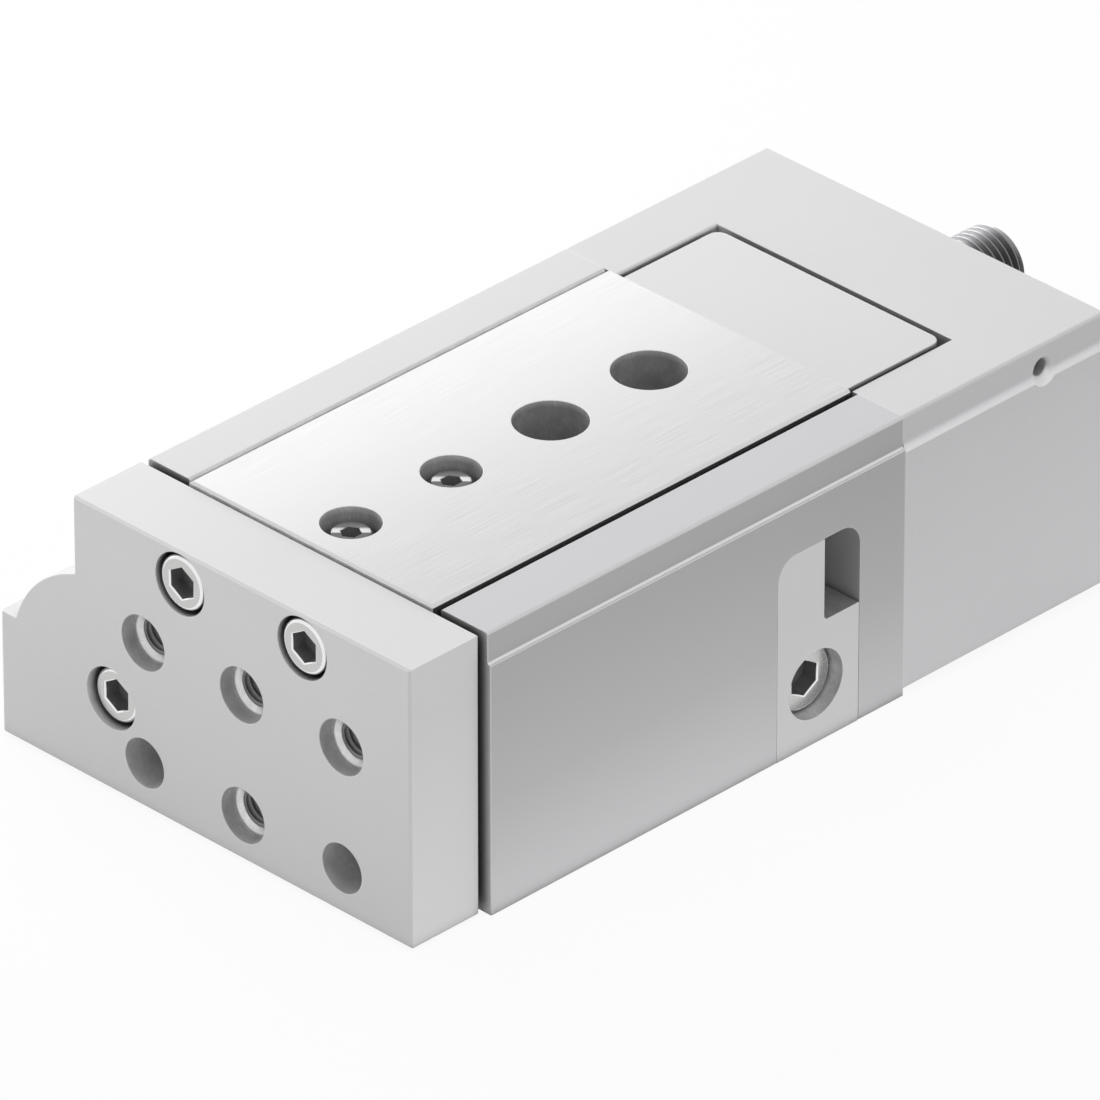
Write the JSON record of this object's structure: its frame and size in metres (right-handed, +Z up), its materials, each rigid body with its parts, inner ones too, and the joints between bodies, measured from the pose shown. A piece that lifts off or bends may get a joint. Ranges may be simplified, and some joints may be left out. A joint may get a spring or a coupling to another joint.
{
  "type": "pneumatic slide table",
  "caption": "Compact pneumatic slide: a ball-guided slide recessed in its body, driven by a side cylinder through a front yoke plate, with end stops and a rear shock absorber.",
  "frame": {"origin": "centre of the bounding box, on the mounting face", "axes": "+Z up from the mounting face, +Y along the travel towards the rear, the slide moves out along -Y, +X to the right seen from the yoke plate"},
  "size_m": [0.0682, 0.1236, 0.0375],
  "materials": {
    "body_aluminium": "fine blasted, clear anodised",
    "yoke_aluminium": "fine blasted, clear anodised",
    "slide_steel": "finely ground",
    "cover_aluminium": "fine blasted, clear anodised",
    "block_aluminium": "smooth, clear anodised",
    "hardened_steel": "hardened and ground",
    "screw_steel": "zinc plated",
    "absorber_steel": "nickel plated",
    "ball_steel": "polished",
    "cage_plastic": "moulded",
    "gland_brass": "turned",
    "piston_aluminium": "turned",
    "seal_rubber": "moulded",
    "magnet_black": "bonded magnet"
  },
  "bodies": {
    "base": {"housing": "body_aluminium", "rear_housing": "body_aluminium", "housing_screws": "screw_steel", "guide_rail_left": "hardened_steel", "guide_rail_right": "hardened_steel", "rod_gland": "gland_brass", "rod_seal": "seal_rubber", "bore_seals": "seal_rubber", "gland_circlip": "screw_steel", "bore_bung": "gland_brass", "stop_bolt": "screw_steel", "stop_nut": "screw_steel", "stop_buffer": "seal_rubber", "side_block": "block_aluminium", "side_block_screw": "screw_steel", "absorber_body": "absorber_steel", "absorber_nut": "absorber_steel"},
    "slide": {"yoke_plate": "yoke_aluminium", "yoke_screws": "screw_steel", "rod_screw": "screw_steel", "slide_table": "slide_steel", "slide_screws": "screw_steel", "guide_carriage": "hardened_steel", "slide_rear_cover": "cover_aluminium", "stop_dog": "hardened_steel", "dog_screws": "screw_steel", "piston_rod": "hardened_steel", "piston": "piston_aluminium", "piston_nut": "screw_steel", "piston_seals": "seal_rubber", "piston_magnet": "magnet_black"},
    "cage_left": {"ball_cage_left": "cage_plastic", "cage_balls_left": "ball_steel"},
    "cage_right": {"ball_cage_right": "cage_plastic", "cage_balls_right": "ball_steel"},
    "plunger": {"absorber_plunger": "absorber_steel"}
  },
  "joints": [
    {"name": "slide_travel", "type": "slide", "parent": "base", "child": "slide", "axis": [0, -1, 0], "range_m": [0, 0.03]},
    {"name": "cage_left_travel", "type": "slide", "parent": "base", "child": "cage_left", "axis": [0, -1, 0], "range_m": [0, 0.015]},
    {"name": "cage_right_travel", "type": "slide", "parent": "base", "child": "cage_right", "axis": [0, -1, 0], "range_m": [0, 0.015]},
    {"name": "plunger_travel", "type": "slide", "parent": "base", "child": "plunger", "axis": [0, -1, 0], "range_m": [0, 0.006]}
  ],
  "couplings": [
    {"joint": "cage_left_travel", "follows": "slide_travel", "ratio": 0.5},
    {"joint": "cage_right_travel", "follows": "slide_travel", "ratio": 0.5},
    {"joint": "plunger_travel", "follows": "slide_travel", "ratio": 0.2}
  ]
}
